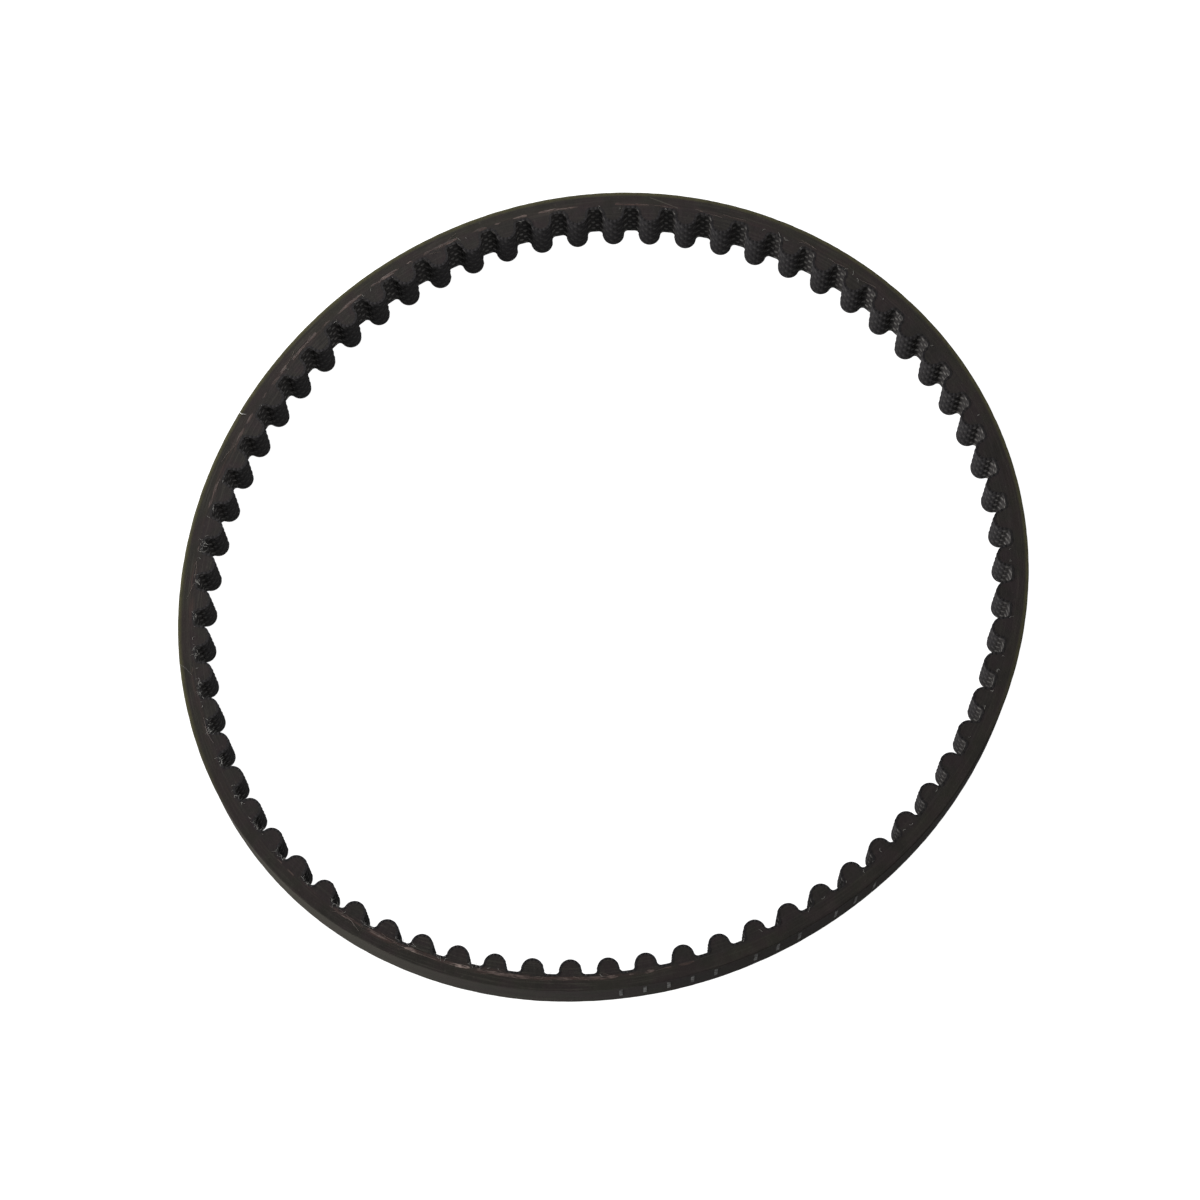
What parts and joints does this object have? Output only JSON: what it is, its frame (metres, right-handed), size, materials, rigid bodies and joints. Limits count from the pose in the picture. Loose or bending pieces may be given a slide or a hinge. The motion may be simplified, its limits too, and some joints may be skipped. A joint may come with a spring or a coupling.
{
  "type": "timing belt",
  "caption": "Endless synchronous belt: smooth rubber back, wound tension cords on the pitch line, and round teeth on the inside wrapped in woven nylon facing.",
  "frame": {"origin": "middle of the ring at the bottom slit edge, which is the face the belt rests on", "axes": "+Z along the belt's width, from the bottom edge to the top edge; +X along the long axis of the relaxed oval"},
  "size_m": [0.0684, 0.0633, 0.006],
  "materials": {
    "back_rubber": "matte",
    "tooth_rubber": "matte",
    "woven_facing": "woven nylon, rubber treated",
    "cord": "twisted, adhesive dipped",
    "ink": "printed"
  },
  "bodies": {
    "root": {"back_rubber": "back_rubber", "tooth_rubber": "tooth_rubber", "tooth_facing": "woven_facing", "tension_cord_s": "cord", "tension_cord_z": "cord", "ink_marks": "ink"}
  },
  "joints": []
}
